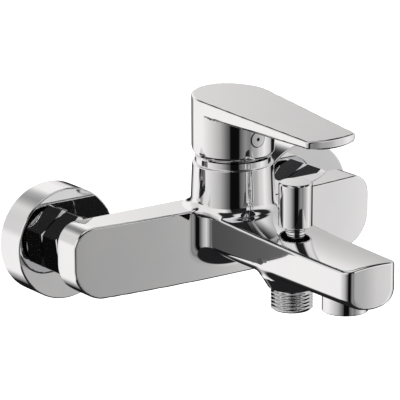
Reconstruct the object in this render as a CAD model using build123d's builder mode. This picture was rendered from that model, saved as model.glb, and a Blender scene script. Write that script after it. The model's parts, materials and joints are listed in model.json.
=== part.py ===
"""Wall mounted single lever bath mixer with a pull-up shower diverter.

Frame: +X to the right along the wall, +Y into the wall, +Z up.
The wall is the plane Y = 0, and the origin lies on it, midway between the two inlets.
Millimetres throughout. The hot inlet is on the left (-X), the cold inlet on the right.
"""
from build123d import *
from math import atan, cos, radians, sin, tan
import os

os.makedirs("parts", exist_ok=True)

# ---------------------------------------------------------------- driving dimensions
INLET_SPACING = 150.0          # standard distance between the two supplies
FIT = 0.05                     # radial gap of a screwed or pushed-in piece
RUN = 0.08                     # radial gap of a running fit
G_HALF_R = 10.48               # G 1/2 thread, major radius
G_THREE_QUARTER_R = 13.22      # G 3/4 thread, major radius

# wall side, as distances from the wall
ESCUTCHEON_R = 28.6
ESCUTCHEON_DEPTH = 17.3
ESCUTCHEON_WALL = 1.3
ESCUTCHEON_FACE = 2.2
ESCUTCHEON_EDGE = 0.8
ECCENTRIC_OFFSET = -8.0        # wall thread below the union's axis
UNION_SHOULDER = 9.0           # where the eccentric's cone ends and its front thread begins
UNION_CONE_R = 12.0
UNION_BORE_R = 7.0
UNION_BORE_END = 6.0
UNION_FRONT_BORE_R = 8.0
UNION_FRONT_BORE_START = 4.0
WALL_THREAD_LENGTH = 20.0
UNION_END = 25.0               # front end of the eccentric's G 3/4 thread
WASHER_THICKNESS = 2.0
WASHER_BORE_R = 8.5
NUT_FLATS = 30.0
NUT_START = 17.8
NUT_END = 31.5
NUT_LIP = 2.0
NUT_TAIL_GAP = 0.2
NUT_TURN = 5.0                 # how far the tightened hexagons stand off upright, degrees
NUT_CORNER_R = 17.2
NUT_CHAMFER = (1.2, 2.2)       # along the axis, and off the corners
TAIL_R = 9.9
TAIL_BORE_R = 7.6
TAIL_END = 43.0
TAIL_END_GAP = 0.5
COLLAR_R = 12.6
COLLAR_LENGTH = 2.5

# check valve inserts: a sleeve, a grille across it and the guide of the valve's plunger
INLET_VALVE_INSET = 0.5
INLET_VALVE_LENGTH = 12.0
INLET_VALVE_BORE_R = 5.6
INLET_GRILLE = (3.0, 6.0, 1.6)     # inset, radius and thickness
INLET_GUIDE = (1.5, 2.2, 9.0)      # inset, radius and length
INLET_HOLES = (3.7, 1.2)           # circle that the holes stand on, and each hole's radius
OUTLET_VALVE_BOTTOM = -22.0
OUTLET_VALVE_LENGTH = 8.0
OUTLET_VALVE_BORE_R = 5.0
OUTLET_GRILLE = (3.0, 5.4, 1.4)
OUTLET_GUIDE = (1.0, 1.9, 7.0)
OUTLET_HOLES = (3.3, 1.1)
GRILLE_HOLES = 6

# cross bar
BAR_HALF_LENGTH = 92.2
BAR_TOP = 17.1
BAR_BOTTOM = -20.15
BAR_BACK = 34.45
BAR_FRONT = 56.3
BAR_SWEEP = 5.95               # how far the front's ends lie behind its middle
BAR_TOP_CORNER = 11.0
BAR_BOTTOM_CORNER = 17.0
PASSAGE_CORNER = 5.0
WATERWAY_Y = 43.4
WATERWAY_DEPTH = 11.8
WATERWAY_START = 5.0
WATERWAY_END = 80.0
WATERWAY_TOP = 6.0
WATERWAY_BOTTOM = -14.0

# valve cylinder
VALVE_Y = -55.9
RIM_R = 20.6
RIM_Z = 39.35
CYLINDER_FOOT_R = 21.5
CYLINDER_FOOT_Z = 17.3
CHAMBER_R = 17.6
CHAMBER_FLOOR = 9.0
VALVE_NECK_R = 19.0
VALVE_NECK_BOTTOM = -5.0
NUT_BORE_R = 18.6
NUT_BORE_Z = 33.0
SUPPLY_PORT = (8.0, 7.0)       # from the cartridge's axis, in X and towards the wall
OUTLET_PORT_Y = -8.5
SUPPLY_PORT_R = 3.2
OUTLET_PORT_R = 4.0

# spout: distance from the wall, half width, edge height, crown, bottom height
SPOUT_STATIONS = (
    (46.0, 20.4, 16.9, 1.6, -8.0),
    (62.0, 19.6, 16.0, 2.3, -8.3),
    (84.0, 18.3, 13.9, 2.5, -8.8),
    (106.0, 17.4, 12.5, 1.9, -9.2),
    (140.0, 16.6, 11.4, 1.6, -9.7),
    (172.0, 15.8, 10.6, 1.4, -10.0),
)
SPOUT_BOTTOM_DEPTH = 8.0       # height of the rounded underside
SPOUT_TIP = 168.6
SPOUT_TIP_BULGE = 1.6
SPOUT_TIP_CORNER = 3.8
SPOUT_ROOT = 7.5               # hollow blend between the spout's flanks and the bar
SPOUT_CUT_WIDTH = 21.0         # wider than the spout's root
SPOUT_CUT_BOTTOM = -20.0
SPOUT_CUT_HEIGHT = 45.0
UPSTREAM_Z = -1.5
UPSTREAM_R = 5.0
UPSTREAM_START = 60.0
DOWNSTREAM_Z = 7.0
DOWNSTREAM_R = 3.6

# diverter
DIVERTER_Y = -107.4
DIVERTER_TRAVEL = 8.0
DIVERTER_FLOOR = -9.2
BUSH_R = 5.75
BUSH_TOP = 17.3
BUSH_BOTTOM = 3.3
BUSH_CHAMFER = 0.3
BUSH_BORE_HEIGHT = 30.0
DIVERTER_STEM_R = 2.0
NECK_R = 4.6                   # narrower foot of the bush, under its collar
NECK_TOP = 15.4
NECK_GROOVE = 0.35
SEAT_HOLE_R = 3.6
O_RING_Z = 13.6
O_RING_WIRE_R = 0.52
O_RING_R = 2.62
O_RING_GROOVE = (3.2, 1.2)     # radius and height
WINDOW_R = 2.8
WINDOW_REACH = 8.0
KNOB_R = 8.5
KNOB_BOTTOM = 17.8
KNOB_TOP = 39.7
KNOB_TOP_EDGE = 0.6
KNOB_BOTTOM_EDGE = 0.4
KNOB_HOLLOW_R = 7.2            # the knob is hollow underneath, round a socket for its stem
KNOB_HOLLOW_DEPTH = 5.0
KNOB_SOCKET_R = 3.4
KNOB_GRIP = 12.0               # length of the stem inside the knob

# shower outlet
OUTLET_Y = -104.8
BOSS_FOOT_R = 14.6
BOSS_FOOT_Z = -9.4
BOSS_R = 11.5
BOSS_BOTTOM = -14.6
BOSS_ROOT = 3.0                # the boss reaches up into the casting, to this far below the axis
SOCKET_TOP = -10.8
SHANK_R = 9.0
OUTLET_BORE_R = 6.6
OUTLET_END = -25.6
OUTLET_CHAMFER = 0.9
OUTLET_WASHER_THICKNESS = 1.0
OUTLET_WASHER_BORE_R = 7.0

# aerator
AERATOR_Y = -147.0
AERATOR_R = 11.3
AERATOR_THREAD_R = 10.6
AERATOR_BOTTOM = -15.6
AERATOR_BORE_R = 9.4
AERATOR_MOUTH_R = 8.6
AERATOR_LIP = 1.2
AERATOR_SHOULDER = -7.0        # where the housing stops in the spout's underside
AERATOR_SEAT = -2.0
AERATOR_EDGE = 0.6
AERATOR_INLET_R = 7.5
AERATOR_WASHER_OUTER_R = 10.5
AERATOR_WASHER_BORE_R = 8.0
AERATOR_WASHER_THICKNESS = 1.5
INSERT_BORE_R = 7.9
INSERT_LENGTH = 9.0
SLOT_PLATE = (6.0, 8.2, 1.6)   # inset, radius and thickness
SLOT_RINGS = ((5.4, 12, 0.9), (3.0, 6, 0.7))    # circle, how many and radius
SCREEN_INSET = 1.8
SCREEN_THICKNESS = 0.8
SCREEN_PITCH = 1.7
SCREEN_MESH = 1.2
SCREEN_COUNT = 7

# cartridge and lever
CARTRIDGE_R = 17.5
CAVITY_R = 15.9
PIVOT_Z = 42.0
HOLDER_R = 10.0
STEM_X = 8.0
STEM_Y = 7.0
STEM_NECK_R = 2.5
PIN_R = 1.5
PIN_INSET = 0.6
BALL_DROP = 12.0               # stem's ball below the pivot
BALL_R = 3.2
CARRIER_R = 10.5
HUB_R = 20.9
HUB_STEP = 0.03                # the hub's skirt lies just inside the blade's outline
HUB_BOTTOM = 43.2
HUB_EDGE = 2.0                 # rounding of the skirt's lower edge
HUB_CAVITY_R = 17.5
HUB_CEILING = 66.0
HUB_CEILING_THICKNESS = 2.0
RELIEF_LENGTH = 25.0
LEVER_TOP = 73.36              # over the cartridge's axis
LEVER_SLOPE = 3.9              # degrees, falling towards the tip
LEVER_TIP = 138.0
LEVER_TIP_BULGE = 2.3
TIP_HALF_WIDTH = 14.6
TIP_CORNER = 1.6
LEVER_TOP_EDGE = 0.8
BLADE_EDGE_Z = 65.4
BLADE_KEEL_Z = 62.9
LIFT_RANGE = 24.0              # degrees
PLUG_R = 4.3
PLUG_Z = 54.7
PLUG_INSET = 0.4
PLUG_PROUD = 0.1
PLUG_CHAMFER = 0.3
PLUG_EYE = (0.75, 0.5)         # radius and depth
PLUG_BORE_START = -1.5         # from the hub's cavity
SCREW_R = 2.5
SCREW_LENGTH = 6.0
SCREW_CHAMFER = 0.6
SCREW_KEY = (1.25, 3.0)        # half the key's width, and its depth
SOCKET_R = 8.0
SOCKET_MOUTH = 51.5


def finish(part, name):
    """Label a finished piece and write it as one STEP file."""
    part.label = name
    export_step(part, "parts/" + name + ".step")


def wall_plane(distance):
    """A plane parallel to the wall, facing the room, that far in front of it."""
    return Plane.XZ.offset(distance)


def level(z, x=0.0, y=0.0):
    """A level plane at a height, centred over a point."""
    return Plane((x, y, z), x_dir=(1, 0, 0), z_dir=(0, 0, 1))


def facing_room(distance, x=0.0, z=0.0):
    """A plane parallel to the wall, centred on an inlet."""
    return Plane((x, -distance, z), x_dir=(1, 0, 0), z_dir=(0, -1, 0))


# ---------------------------------------------------------------- body casting
def spout_section(distance, half_width, edge, crown, bottom):
    """Flat-topped section with a crowned top and a rounded underside."""
    haunch = bottom + SPOUT_BOTTOM_DEPTH
    with BuildSketch(wall_plane(distance)) as section:
        with BuildLine():
            ThreePointArc((-half_width, edge), (0, edge + crown), (half_width, edge))
            Line((half_width, edge), (half_width, haunch))
            EllipticalCenterArc((0, haunch), half_width, SPOUT_BOTTOM_DEPTH, 180, arc_size=180)
            Line((-half_width, haunch), (-half_width, edge))
        make_face()
    return section.sketch


with BuildPart() as bar:
    with BuildSketch(wall_plane(BAR_BACK)):
        with Locations((0, (BAR_TOP + BAR_BOTTOM) / 2)):
            Rectangle(2 * BAR_HALF_LENGTH, BAR_TOP - BAR_BOTTOM)
        fillet(vertices().group_by(Axis.Y)[-1], BAR_TOP_CORNER)
        fillet(vertices().group_by(Axis.Y)[0], BAR_BOTTOM_CORNER)
    extrude(amount=BAR_FRONT - BAR_BACK)
    # the front is swept back towards its ends, on one large radius
    sweep_r = (BAR_HALF_LENGTH ** 2 + BAR_SWEEP ** 2) / (2 * BAR_SWEEP)
    with BuildSketch(level(BAR_BOTTOM - 1)):
        with Locations((0, sweep_r - BAR_FRONT)):
            Circle(sweep_r)
    extrude(amount=BAR_TOP - BAR_BOTTOM + 2, mode=Mode.INTERSECT)

with BuildPart() as spout:
    for station in SPOUT_STATIONS:
        add(spout_section(*station))
    loft()
    spout_back = SPOUT_STATIONS[0][0]
    corner_y = SPOUT_TIP_BULGE - SPOUT_TIP
    with BuildSketch(level(SPOUT_CUT_BOTTOM)):
        with BuildLine():
            Polyline(
                (-SPOUT_CUT_WIDTH, corner_y),
                (-SPOUT_CUT_WIDTH, -spout_back),
                (SPOUT_CUT_WIDTH, -spout_back),
                (SPOUT_CUT_WIDTH, corner_y),
            )
            ThreePointArc((SPOUT_CUT_WIDTH, corner_y), (0, -SPOUT_TIP), (-SPOUT_CUT_WIDTH, corner_y))
        make_face()
    extrude(amount=SPOUT_CUT_HEIGHT, mode=Mode.INTERSECT)
    fillet(edges().filter_by(lambda e: abs(e.center().X) > 15 and e.center().Y < corner_y), SPOUT_TIP_CORNER)

with BuildPart() as body_casting:
    add(bar.part)
    add(spout.part)
    joint_line = edges().filter_by(lambda edge: -BAR_FRONT - 0.1 < edge.center().Y < -BAR_FRONT + 1)
    flanks = joint_line.filter_by(lambda edge: 19 < abs(edge.center().X) < SPOUT_CUT_WIDTH)
    fillet(flanks.sort_by(SortBy.LENGTH)[-2:], SPOUT_ROOT)
    with BuildSketch(level(CYLINDER_FOOT_Z, y=VALVE_Y)):
        Circle(CYLINDER_FOOT_R)
    with BuildSketch(level(RIM_Z, y=VALVE_Y)):
        Circle(RIM_R)
    loft()
    # neck under the cylinder, down into the root of the spout
    with BuildSketch(level(VALVE_NECK_BOTTOM, y=VALVE_Y)):
        Circle(VALVE_NECK_R)
    extrude(amount=CYLINDER_FOOT_Z - VALVE_NECK_BOTTOM)
    # boss that carries the shower outlet
    with BuildSketch(level(BOSS_BOTTOM, y=OUTLET_Y)):
        Circle(BOSS_R)
    with BuildSketch(level(BOSS_FOOT_Z, y=OUTLET_Y)):
        Circle(BOSS_FOOT_R)
    loft()
    with BuildSketch(level(BOSS_FOOT_Z, y=OUTLET_Y)):
        Circle(BOSS_FOOT_R)
    extrude(amount=-BOSS_FOOT_Z - BOSS_ROOT)
    # cartridge chamber
    with BuildSketch(level(CHAMBER_FLOOR, y=VALVE_Y)):
        Circle(CHAMBER_R)
    extrude(amount=RIM_Z - CHAMBER_FLOOR, mode=Mode.SUBTRACT)
    with BuildSketch(level(NUT_BORE_Z, y=VALVE_Y)):
        Circle(NUT_BORE_R)
    extrude(amount=RIM_Z - NUT_BORE_Z, mode=Mode.SUBTRACT)
    # hot and cold waterways, each with its inlet and its port into the chamber
    for side in (-1, 1):
        with BuildSketch(Plane((side * WATERWAY_START, 0, 0), x_dir=(0, 1, 0), z_dir=(side, 0, 0))):
            with Locations((-WATERWAY_Y, side * (WATERWAY_TOP + WATERWAY_BOTTOM) / 2)):
                RectangleRounded(WATERWAY_DEPTH, WATERWAY_TOP - WATERWAY_BOTTOM, PASSAGE_CORNER)
        extrude(amount=WATERWAY_END - WATERWAY_START, mode=Mode.SUBTRACT)
        with BuildSketch(facing_room(BAR_BACK, side * INLET_SPACING / 2)):
            Circle(TAIL_R + FIT)
        extrude(amount=TAIL_END + TAIL_END_GAP - BAR_BACK, mode=Mode.SUBTRACT)
        with BuildSketch(level(0, side * SUPPLY_PORT[0], VALVE_Y + SUPPLY_PORT[1])):
            Circle(SUPPLY_PORT_R)
        extrude(amount=CHAMBER_FLOOR, mode=Mode.SUBTRACT)
    # mixed water: down from the chamber and forward to the diverter
    with BuildSketch(level(UPSTREAM_Z, y=VALVE_Y + OUTLET_PORT_Y)):
        Circle(OUTLET_PORT_R)
    extrude(amount=CHAMBER_FLOOR - UPSTREAM_Z, mode=Mode.SUBTRACT)
    with BuildSketch(facing_room(UPSTREAM_START, z=UPSTREAM_Z)):
        Circle(UPSTREAM_R)
    extrude(amount=-DIVERTER_Y - UPSTREAM_START, mode=Mode.SUBTRACT)
    # diverter chamber, open at the top for the bush
    with BuildSketch(level(DIVERTER_FLOOR, y=DIVERTER_Y)):
        Circle(BUSH_R + FIT)
    extrude(amount=BUSH_BORE_HEIGHT, mode=Mode.SUBTRACT)
    with BuildSketch(level(SOCKET_TOP - 1, y=DIVERTER_Y)):
        Circle(SEAT_HOLE_R)
    extrude(amount=DIVERTER_FLOOR - SOCKET_TOP + 2, mode=Mode.SUBTRACT)
    with BuildSketch(level(BOSS_BOTTOM, y=OUTLET_Y)):
        Circle(SHANK_R + FIT)
    extrude(amount=SOCKET_TOP - BOSS_BOTTOM, mode=Mode.SUBTRACT)
    # on to the aerator
    with BuildSketch(facing_room(-DIVERTER_Y, z=DOWNSTREAM_Z)):
        Circle(DOWNSTREAM_R)
    extrude(amount=DIVERTER_Y - AERATOR_Y, mode=Mode.SUBTRACT)
    with BuildSketch(level(AERATOR_SEAT, y=AERATOR_Y)):
        Circle(AERATOR_INLET_R)
    extrude(amount=DOWNSTREAM_Z - AERATOR_SEAT, mode=Mode.SUBTRACT)
    with BuildSketch(level(AERATOR_SEAT, y=AERATOR_Y)):
        Circle(AERATOR_THREAD_R + FIT)
    extrude(amount=AERATOR_BOTTOM - AERATOR_SEAT, mode=Mode.SUBTRACT)
    with BuildSketch(level(AERATOR_SHOULDER, y=AERATOR_Y)):
        Circle(AERATOR_R + FIT)
    extrude(amount=AERATOR_BOTTOM - AERATOR_SHOULDER, mode=Mode.SUBTRACT)
finish(body_casting.part, "body_casting")


# ---------------------------------------------------------------- wall unions
def ring(plane, outer, inner, length, name):
    """A plain ring, extruded from a plane along its normal."""
    with BuildPart() as piece:
        with BuildSketch(plane):
            Circle(outer)
            Circle(inner, mode=Mode.SUBTRACT)
        extrude(amount=length)
    finish(piece.part, name)


for side, water in ((-1, "hot"), (1, "cold")):
    inlet_x = side * INLET_SPACING / 2

    with BuildPart() as eccentric_union:
        with BuildSketch(facing_room(-WALL_THREAD_LENGTH, inlet_x, ECCENTRIC_OFFSET)):
            Circle(G_HALF_R)
        extrude(amount=WALL_THREAD_LENGTH)
        with BuildSketch(facing_room(0, inlet_x, ECCENTRIC_OFFSET)):
            Circle(G_HALF_R)
        with BuildSketch(facing_room(UNION_SHOULDER, inlet_x)):
            Circle(UNION_CONE_R)
        loft()
        with BuildSketch(facing_room(UNION_SHOULDER, inlet_x)):
            Circle(G_THREE_QUARTER_R)
        extrude(amount=UNION_END - UNION_SHOULDER)
        with BuildSketch(facing_room(-WALL_THREAD_LENGTH, inlet_x, ECCENTRIC_OFFSET)):
            Circle(UNION_BORE_R)
        extrude(amount=WALL_THREAD_LENGTH + UNION_BORE_END, mode=Mode.SUBTRACT)
        with BuildSketch(facing_room(UNION_FRONT_BORE_START, inlet_x)):
            Circle(UNION_FRONT_BORE_R)
        extrude(amount=UNION_END - UNION_FRONT_BORE_START, mode=Mode.SUBTRACT)
    finish(eccentric_union.part, "eccentric_union_" + water)

    with BuildPart() as wall_escutcheon:
        with BuildSketch(facing_room(0, inlet_x)):
            Circle(ESCUTCHEON_R)
        extrude(amount=ESCUTCHEON_DEPTH)
        fillet(edges().group_by(Axis.Y)[0], ESCUTCHEON_EDGE)
        with BuildSketch(facing_room(0, inlet_x)):
            Circle(ESCUTCHEON_R - ESCUTCHEON_WALL)
        extrude(amount=ESCUTCHEON_DEPTH - ESCUTCHEON_FACE, mode=Mode.SUBTRACT)
        with BuildSketch(facing_room(0, inlet_x)):
            Circle(G_THREE_QUARTER_R + FIT)
        extrude(amount=ESCUTCHEON_DEPTH, mode=Mode.SUBTRACT)
    finish(wall_escutcheon.part, "wall_escutcheon_" + water)

    # a chamfered disc, which the hexagon is cut from
    with BuildPart() as nut_blank:
        with BuildSketch(facing_room(NUT_START, inlet_x)):
            Circle(NUT_CORNER_R)
        extrude(amount=NUT_END - NUT_START)
        for end_face in (faces().sort_by(Axis.Y)[0], faces().sort_by(Axis.Y)[-1]):
            chamfer(end_face.edges(), NUT_CHAMFER[1], NUT_CHAMFER[0], reference=end_face)

    with BuildPart() as union_nut:
        with BuildSketch(facing_room(NUT_START, inlet_x)):
            RegularPolygon(NUT_FLATS / 2, 6, major_radius=False, rotation=30 - side * NUT_TURN)
        extrude(amount=NUT_END - NUT_START)
        add(nut_blank.part, mode=Mode.INTERSECT)
        with BuildSketch(facing_room(NUT_START, inlet_x)):
            Circle(G_THREE_QUARTER_R + FIT)
        extrude(amount=NUT_END - NUT_START - NUT_LIP, mode=Mode.SUBTRACT)
        with BuildSketch(facing_room(NUT_START, inlet_x)):
            Circle(TAIL_R + NUT_TAIL_GAP)
        extrude(amount=NUT_END - NUT_START, mode=Mode.SUBTRACT)
    finish(union_nut.part, "union_nut_" + water)

    ring(facing_room(UNION_END, inlet_x), COLLAR_R, WASHER_BORE_R, WASHER_THICKNESS, "union_washer_" + water)

    collar_start = UNION_END + WASHER_THICKNESS
    with BuildPart() as inlet_tail:
        with BuildSketch(facing_room(collar_start, inlet_x)):
            Circle(COLLAR_R)
        extrude(amount=COLLAR_LENGTH)
        with BuildSketch(facing_room(collar_start, inlet_x)):
            Circle(TAIL_R)
        extrude(amount=TAIL_END - collar_start)
        with BuildSketch(facing_room(collar_start, inlet_x)):
            Circle(TAIL_BORE_R)
        extrude(amount=TAIL_END - collar_start, mode=Mode.SUBTRACT)
    finish(inlet_tail.part, "inlet_tail_" + water)

    with BuildPart() as check_valve:
        with BuildSketch(facing_room(collar_start + INLET_VALVE_INSET, inlet_x)):
            Circle(TAIL_BORE_R - FIT)
            Circle(INLET_VALVE_BORE_R, mode=Mode.SUBTRACT)
        extrude(amount=INLET_VALVE_LENGTH)
        with BuildSketch(facing_room(collar_start + INLET_GRILLE[0], inlet_x)):
            Circle(INLET_GRILLE[1])
            with PolarLocations(INLET_HOLES[0], GRILLE_HOLES):
                Circle(INLET_HOLES[1], mode=Mode.SUBTRACT)
        extrude(amount=INLET_GRILLE[2])
        with BuildSketch(facing_room(collar_start + INLET_GUIDE[0], inlet_x)):
            Circle(INLET_GUIDE[1])
        extrude(amount=INLET_GUIDE[2])
    finish(check_valve.part, "check_valve_" + water)


# ---------------------------------------------------------------- cartridge
def valve_level(z):
    return level(z, y=VALVE_Y)


BASE_FLANGE = 2.0
BASE_TOP = 18.8
SEAL_WIDTH = 1.4
SEAL_DEPTH = 1.6
FIXED_DISC_TOP = 22.3
MOVING_DISC_TOP = 25.4
POCKET_Y = -1.0
POCKET_SIZE = (15.0, 10.0, 1.6)    # length, width and depth
CARRIER_TOP = 32.0
CARRIER_HEADROOM = 0.3
BALL_GAP = 0.35
BALL_FLOOR_GAP = 0.6
HOUSING_SHOULDER = 33.4
HOUSING_NECK_R = 12.4
HOUSING_TOP = 38.0
HOLDER_BOTTOM = 33.5
HOLDER_TOP = 46.0
HOLDER_SLOT_GAP = 0.2
HOLDER_SLOT_LENGTH = 15.4
RETAINER_LENGTH = 5.0
RETAINER_GAP = 0.2
PORTS = (
    (-SUPPLY_PORT[0], SUPPLY_PORT[1], SUPPLY_PORT_R),
    (SUPPLY_PORT[0], SUPPLY_PORT[1], SUPPLY_PORT_R),
    (0.0, OUTLET_PORT_Y, OUTLET_PORT_R),
)

with BuildPart() as cartridge_base:
    with BuildSketch(valve_level(CHAMBER_FLOOR)):
        Circle(CARTRIDGE_R)
    extrude(amount=BASE_FLANGE)
    with BuildSketch(valve_level(CHAMBER_FLOOR)):
        Circle(CAVITY_R - FIT)
    extrude(amount=BASE_TOP - CHAMBER_FLOOR)
    for port_x, port_y, port_r in PORTS:
        with BuildSketch(valve_level(CHAMBER_FLOOR)):
            with Locations((port_x, port_y)):
                Circle(port_r)
        extrude(amount=BASE_TOP - CHAMBER_FLOOR, mode=Mode.SUBTRACT)
        with BuildSketch(valve_level(CHAMBER_FLOOR)):
            with Locations((port_x, port_y)):
                Circle(port_r + SEAL_WIDTH)
        extrude(amount=SEAL_DEPTH, mode=Mode.SUBTRACT)
finish(cartridge_base.part, "cartridge_base")

with BuildPart() as port_seals:
    for port_x, port_y, port_r in PORTS:
        with BuildSketch(valve_level(CHAMBER_FLOOR)):
            with Locations((port_x, port_y)):
                Circle(port_r + SEAL_WIDTH - FIT)
                Circle(port_r, mode=Mode.SUBTRACT)
        extrude(amount=SEAL_DEPTH)
finish(port_seals.part, "port_seals")

with BuildPart() as fixed_disc:
    with BuildSketch(valve_level(BASE_TOP)):
        Circle(CAVITY_R - FIT)
        for port_x, port_y, port_r in PORTS:
            with Locations((port_x, port_y)):
                Circle(port_r, mode=Mode.SUBTRACT)
    extrude(amount=FIXED_DISC_TOP - BASE_TOP)
finish(fixed_disc.part, "fixed_disc")

with BuildPart() as moving_disc:
    with BuildSketch(valve_level(FIXED_DISC_TOP)):
        Circle(CARRIER_R)
    extrude(amount=MOVING_DISC_TOP - FIXED_DISC_TOP)
    # mixing pocket in the underside
    with BuildSketch(valve_level(FIXED_DISC_TOP)):
        with Locations((0, POCKET_Y)):
            SlotOverall(POCKET_SIZE[0], POCKET_SIZE[1], rotation=90)
    extrude(amount=POCKET_SIZE[2], mode=Mode.SUBTRACT)
finish(moving_disc.part, "moving_disc")

with BuildPart() as disc_carrier:
    with BuildSketch(valve_level(MOVING_DISC_TOP)):
        Circle(CARRIER_R)
    extrude(amount=CARRIER_TOP - MOVING_DISC_TOP)
    with BuildSketch(valve_level(PIVOT_Z - BALL_DROP - BALL_R - BALL_FLOOR_GAP)):
        Rectangle(2 * (BALL_R + BALL_GAP), 2 * (BALL_R + BALL_GAP))
    extrude(amount=CARRIER_TOP - MOVING_DISC_TOP, mode=Mode.SUBTRACT)
finish(disc_carrier.part, "disc_carrier")

with BuildPart() as cartridge_housing:
    with BuildSketch(valve_level(CHAMBER_FLOOR + BASE_FLANGE)):
        Circle(CARTRIDGE_R)
    extrude(amount=HOUSING_SHOULDER - CHAMBER_FLOOR - BASE_FLANGE)
    with BuildSketch(valve_level(HOUSING_SHOULDER)):
        Circle(HOUSING_NECK_R)
    extrude(amount=HOUSING_TOP - HOUSING_SHOULDER)
    with BuildSketch(valve_level(CHAMBER_FLOOR + BASE_FLANGE)):
        Circle(CAVITY_R)
    extrude(amount=CARRIER_TOP + CARRIER_HEADROOM - CHAMBER_FLOOR - BASE_FLANGE, mode=Mode.SUBTRACT)
    with BuildSketch(valve_level(CHAMBER_FLOOR + BASE_FLANGE)):
        Circle(HOLDER_R + RUN)
    extrude(amount=HOUSING_TOP - CHAMBER_FLOOR - BASE_FLANGE, mode=Mode.SUBTRACT)
finish(cartridge_housing.part, "cartridge_housing")

with BuildPart() as stem_holder:
    with BuildSketch(valve_level(HOLDER_BOTTOM)):
        Circle(HOLDER_R)
        Rectangle(STEM_X + 2 * HOLDER_SLOT_GAP, HOLDER_SLOT_LENGTH, mode=Mode.SUBTRACT)
    extrude(amount=HOLDER_TOP - HOLDER_BOTTOM)
    with BuildSketch(Plane((-HOLDER_R - 1, VALVE_Y, PIVOT_Z), x_dir=(0, 1, 0), z_dir=(1, 0, 0))):
        Circle(PIN_R + FIT)
    extrude(amount=2 * HOLDER_R + 2, mode=Mode.SUBTRACT)
finish(stem_holder.part, "stem_holder")

with BuildPart() as stem_pin:
    with BuildSketch(Plane((PIN_INSET - HOLDER_R, VALVE_Y, PIVOT_Z), x_dir=(0, 1, 0), z_dir=(1, 0, 0))):
        Circle(PIN_R)
    extrude(amount=2 * (HOLDER_R - PIN_INSET))
finish(stem_pin.part, "stem_pin")

STEM_TOP = 63.0
STEM_SHOULDER = 33.8
with BuildPart() as lever_stem:
    with BuildSketch(valve_level(STEM_SHOULDER)):
        Rectangle(STEM_X, STEM_Y)
    extrude(amount=STEM_TOP - STEM_SHOULDER)
    with BuildSketch(valve_level(PIVOT_Z - BALL_DROP)):
        Circle(STEM_NECK_R)
    extrude(amount=STEM_SHOULDER - PIVOT_Z + BALL_DROP)
    with Locations((0, VALVE_Y, PIVOT_Z - BALL_DROP)):
        Sphere(BALL_R)
    with BuildSketch(Plane((-STEM_X, VALVE_Y, PIVOT_Z), x_dir=(0, 1, 0), z_dir=(1, 0, 0))):
        Circle(PIN_R + RUN)
    extrude(amount=2 * STEM_X, mode=Mode.SUBTRACT)
finish(lever_stem.part, "lever_stem")

retainer_bore_r = HOUSING_NECK_R + RETAINER_GAP
ring(valve_level(HOUSING_SHOULDER), NUT_BORE_R - FIT, retainer_bore_r, RETAINER_LENGTH, "retaining_nut")

# dome cap: a trim ring on the rim with a dome centred on the lever's pivot
DOME_R = 16.3
DOME_TOP = 46.5
CAP_R = 19.3
CAP_SHOULDER = 42.5
DOME_WALL = 1.3
DOME_MOUTH_R = 11.6
CAP_LIP_R = 18.5
CAP_LIP_DEPTH = 0.8


def dome_point(height, radius):
    """Distance from the axis of a sphere about the pivot, at a height."""
    return (radius ** 2 - (height - PIVOT_Z) ** 2) ** 0.5


with BuildPart() as dome_cap:
    with BuildSketch(Plane((0, VALVE_Y, 0), x_dir=(1, 0, 0), z_dir=(0, -1, 0))):
        with BuildLine():
            middle = (CAP_SHOULDER + DOME_TOP) / 2
            inner = DOME_R - DOME_WALL
            Polyline(
                (DOME_MOUTH_R, DOME_TOP - DOME_WALL),
                (DOME_MOUTH_R, DOME_TOP),
                (dome_point(DOME_TOP, DOME_R), DOME_TOP),
            )
            ThreePointArc(
                (dome_point(DOME_TOP, DOME_R), DOME_TOP),
                (dome_point(middle, DOME_R), middle),
                (dome_point(CAP_SHOULDER, DOME_R), CAP_SHOULDER),
            )
            Polyline(
                (dome_point(CAP_SHOULDER, DOME_R), CAP_SHOULDER),
                (CAP_R, CAP_SHOULDER),
                (CAP_R, RIM_Z),
                (CAP_LIP_R, RIM_Z),
                (CAP_LIP_R, RIM_Z - CAP_LIP_DEPTH),
                (inner, RIM_Z - CAP_LIP_DEPTH),
                (inner, PIVOT_Z),
                (dome_point(DOME_TOP - DOME_WALL, inner), DOME_TOP - DOME_WALL),
                (DOME_MOUTH_R, DOME_TOP - DOME_WALL),
            )
        make_face()
    revolve(axis=Axis((0, VALVE_Y, 0), (0, 0, 1)))
finish(dome_cap.part, "dome_cap")

# ---------------------------------------------------------------- lever
taper = (HUB_R - TIP_HALF_WIDTH) / (LEVER_TIP - LEVER_TIP_BULGE + VALVE_Y)
side_angle = atan(taper)
tangent_x = HUB_R * cos(side_angle)
tangent_y = VALVE_Y - HUB_R * sin(side_angle)
corner_y = -(LEVER_TIP - LEVER_TIP_BULGE)
relief_height = RELIEF_LENGTH * tan(radians(LIFT_RANGE))
lever_top_plane = Plane(
    (0, VALVE_Y, LEVER_TOP),
    x_dir=(1, 0, 0),
    z_dir=(0, sin(radians(-LEVER_SLOPE)), cos(radians(LEVER_SLOPE))),
)

with BuildPart() as hub_skirt:
    with BuildSketch(valve_level(HUB_BOTTOM)):
        Circle(HUB_R - HUB_STEP)
    extrude(amount=HUB_CEILING + HUB_CEILING_THICKNESS - HUB_BOTTOM)
    fillet(edges().group_by(Axis.Z)[0], HUB_EDGE)

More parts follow.
